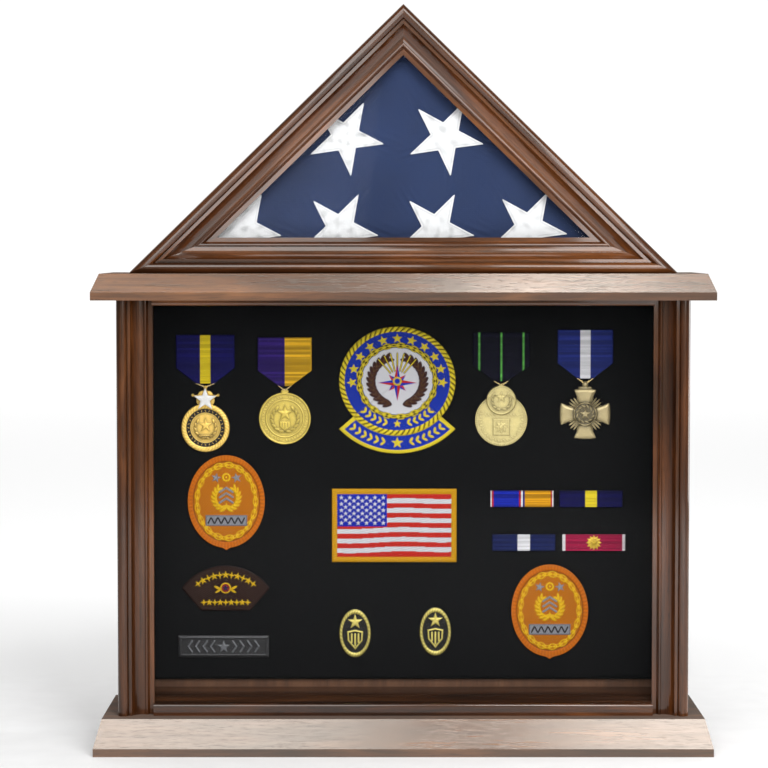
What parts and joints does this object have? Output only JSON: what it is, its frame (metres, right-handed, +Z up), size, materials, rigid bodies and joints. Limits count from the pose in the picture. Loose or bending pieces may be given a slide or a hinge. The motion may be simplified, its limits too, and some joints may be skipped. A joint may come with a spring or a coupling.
{
  "type": "folded flag display case",
  "caption": "Triangular glazed case for a folded flag on a shelf, over a glazed shadow box of medals and insignia, on a bevelled base, with removable rear panels",
  "frame": {"origin": "middle of the underside of the base board, under the middle of the whole case", "axes": "X runs across the width, to the viewer's right; -Y is the glazed front and +Y the rear panels; +Z is up"},
  "size_m": [0.476, 0.112, 0.5756],
  "materials": {
    "walnut_lacquer": "high gloss lacquer over dark walnut stain",
    "walnut_case": "satin lacquer over dark walnut stain",
    "panel_veneer": "matt stained board",
    "dowel_beech": "bare",
    "clear_glass": "polished",
    "black_felt": "felted",
    "flag_cotton": "woven cotton",
    "steel_screw": "zinc plated",
    "brass_plate": "plated",
    "ribbon_navy_yellow": "ribbed moire ribbon",
    "ribbon_purple_gold": "ribbed moire ribbon",
    "ribbon_navy_green": "ribbed moire ribbon",
    "ribbon_navy_white": "ribbed moire ribbon",
    "medal_gold": "struck and polished",
    "medal_pale_gold": "struck, satin",
    "medal_bronze": "antique bronze",
    "patch_blue": "embroidered",
    "patch_gold": "embroidered",
    "patch_brown": "embroidered",
    "patch_flag": "embroidered",
    "plate_grey": "satin black nickel",
    "bar_ribbon_red": "ribbed ribbon",
    "bar_ribbon_navy": "ribbed ribbon",
    "bar_ribbon_crimson": "ribbed ribbon"
  },
  "bodies": {
    "case": {"base_board": "walnut_lacquer", "shelf_board": "walnut_lacquer", "box_left_side": "walnut_case", "box_right_side": "walnut_case", "box_floor": "walnut_case", "pilaster_left": "walnut_lacquer", "pilaster_right": "walnut_lacquer", "front_bottom_rail": "walnut_lacquer", "front_top_rail": "walnut_lacquer", "box_glass": "clear_glass", "box_glazing_left": "walnut_case", "box_glazing_right": "walnut_case", "box_glazing_top": "walnut_case", "flag_case_floor": "walnut_case", "flag_case_left_board": "walnut_case", "flag_case_right_board": "walnut_case", "flag_moulding_bottom": "walnut_lacquer", "flag_moulding_left": "walnut_lacquer", "flag_moulding_right": "walnut_lacquer", "flag_glass": "clear_glass", "flag_glazing_bottom": "walnut_case", "flag_glazing_left": "walnut_case", "flag_glazing_right": "walnut_case", "folded_flag": "flag_cotton", "shelf_dowels": "dowel_beech", "base_screws": "steel_screw", "flag_case_screws": "steel_screw", "button_screws": "brass_plate"},
    "box_back": {"box_back_panel": "panel_veneer", "felt_board": "black_felt", "medal_1_ribbon": "ribbon_navy_yellow", "medal_2_ribbon": "ribbon_purple_gold", "medal_3_ribbon": "ribbon_navy_green", "medal_4_ribbon": "ribbon_navy_white", "medal_1_pendant": "medal_gold", "medal_2_pendant": "medal_gold", "medal_3_pendant": "medal_pale_gold", "medal_4_pendant": "medal_bronze", "medal_bails": "medal_gold", "round_patch": "patch_blue", "oval_patch_left": "patch_gold", "oval_patch_right": "patch_gold", "cap_patch": "patch_brown", "flag_patch": "patch_flag", "gold_pins": "medal_gold", "name_plate": "plate_grey", "ribbon_bar_frames": "brass_plate", "ribbon_bar_1": "bar_ribbon_red", "ribbon_bar_2": "bar_ribbon_navy", "ribbon_bar_3": "bar_ribbon_navy", "ribbon_bar_4": "bar_ribbon_crimson"},
    "flag_back": {"flag_back_panel": "panel_veneer"},
    "turn_button_lower_left_body": {"turn_button_lower_left": "brass_plate"},
    "turn_button_upper_left_body": {"turn_button_upper_left": "brass_plate"},
    "turn_button_lower_right_body": {"turn_button_lower_right": "brass_plate"},
    "turn_button_upper_right_body": {"turn_button_upper_right": "brass_plate"},
    "turn_button_flag_floor_body": {"turn_button_flag_floor": "brass_plate"},
    "turn_button_flag_left_body": {"turn_button_flag_left": "brass_plate"},
    "turn_button_flag_right_body": {"turn_button_flag_right": "brass_plate"}
  },
  "joints": [
    {"name": "box_back_slide", "type": "slide", "parent": "case", "child": "box_back", "axis": [0, 1, 0], "range_m": [0, 0.08]},
    {"name": "flag_back_slide", "type": "slide", "parent": "case", "child": "flag_back", "axis": [0, 1, 0], "range_m": [0, 0.06]},
    {"name": "turn_button_lower_left_turn", "type": "hinge", "parent": "case", "child": "turn_button_lower_left_body", "pos_m": [-0.2165, 0.05, 0.09903], "axis": [0, -1, 0], "range_deg": [0, 180]},
    {"name": "turn_button_upper_left_turn", "type": "hinge", "parent": "case", "child": "turn_button_upper_left_body", "pos_m": [-0.2165, 0.05, 0.27907], "axis": [0, -1, 0], "range_deg": [0, 180]},
    {"name": "turn_button_lower_right_turn", "type": "hinge", "parent": "case", "child": "turn_button_lower_right_body", "pos_m": [0.2165, 0.05, 0.09903], "axis": [0, 1, 0], "range_deg": [0, 180]},
    {"name": "turn_button_upper_right_turn", "type": "hinge", "parent": "case", "child": "turn_button_upper_right_body", "pos_m": [0.2165, 0.05, 0.27907], "axis": [0, 1, 0], "range_deg": [0, 180]},
    {"name": "turn_button_flag_floor_turn", "type": "hinge", "parent": "case", "child": "turn_button_flag_floor_body", "pos_m": [0, 0.05, 0.3741], "axis": [0, -1, 0], "range_deg": [0, 180]},
    {"name": "turn_button_flag_left_turn", "type": "hinge", "parent": "case", "child": "turn_button_flag_left_body", "pos_m": [-0.10271, 0.05, 0.46998], "axis": [0, -1, 0], "range_deg": [0, 180]},
    {"name": "turn_button_flag_right_turn", "type": "hinge", "parent": "case", "child": "turn_button_flag_right_body", "pos_m": [0.10271, 0.05, 0.46998], "axis": [0, 1, 0], "range_deg": [0, 180]}
  ]
}
